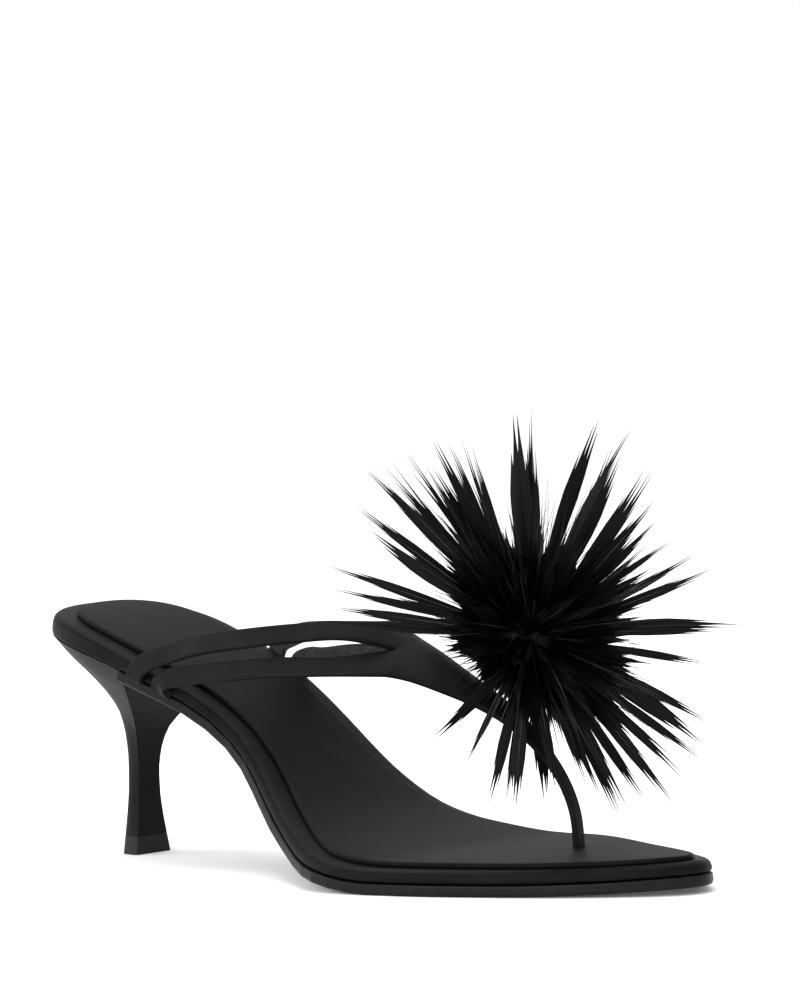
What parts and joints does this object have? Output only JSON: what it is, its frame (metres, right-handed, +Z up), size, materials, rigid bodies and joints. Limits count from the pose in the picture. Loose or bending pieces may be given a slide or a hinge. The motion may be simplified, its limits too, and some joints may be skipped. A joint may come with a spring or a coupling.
{
  "type": "toe post sandal",
  "caption": "High-heeled thong sandal for the right foot: padded satin footbed, crossing straps that join over an arched vamp with a toe post, and a feather pompom on the vamp.",
  "frame": {"origin": "centre of the heel tip's underside, which stands on the floor", "axes": "+X from the heel to the toe, +Y to the inner side of the foot, +Z up"},
  "size_m": [0.2232, 0.1189, 0.123],
  "materials": {
    "outsole": "smooth black sole leather",
    "insole": "black satin over padding",
    "sock_lining": "black satin lining",
    "heel": "black satin wrapped on a moulded heel",
    "heel_tip": "hard black rubber",
    "upper": "black satin, leather lined",
    "pompom": "glossy black feathers"
  },
  "bodies": {
    "root": {"outsole": "outsole", "insole": "insole", "sock_lining": "sock_lining", "heel": "heel", "heel_tip": "heel_tip", "upper": "upper", "pompom": "pompom"}
  },
  "joints": []
}
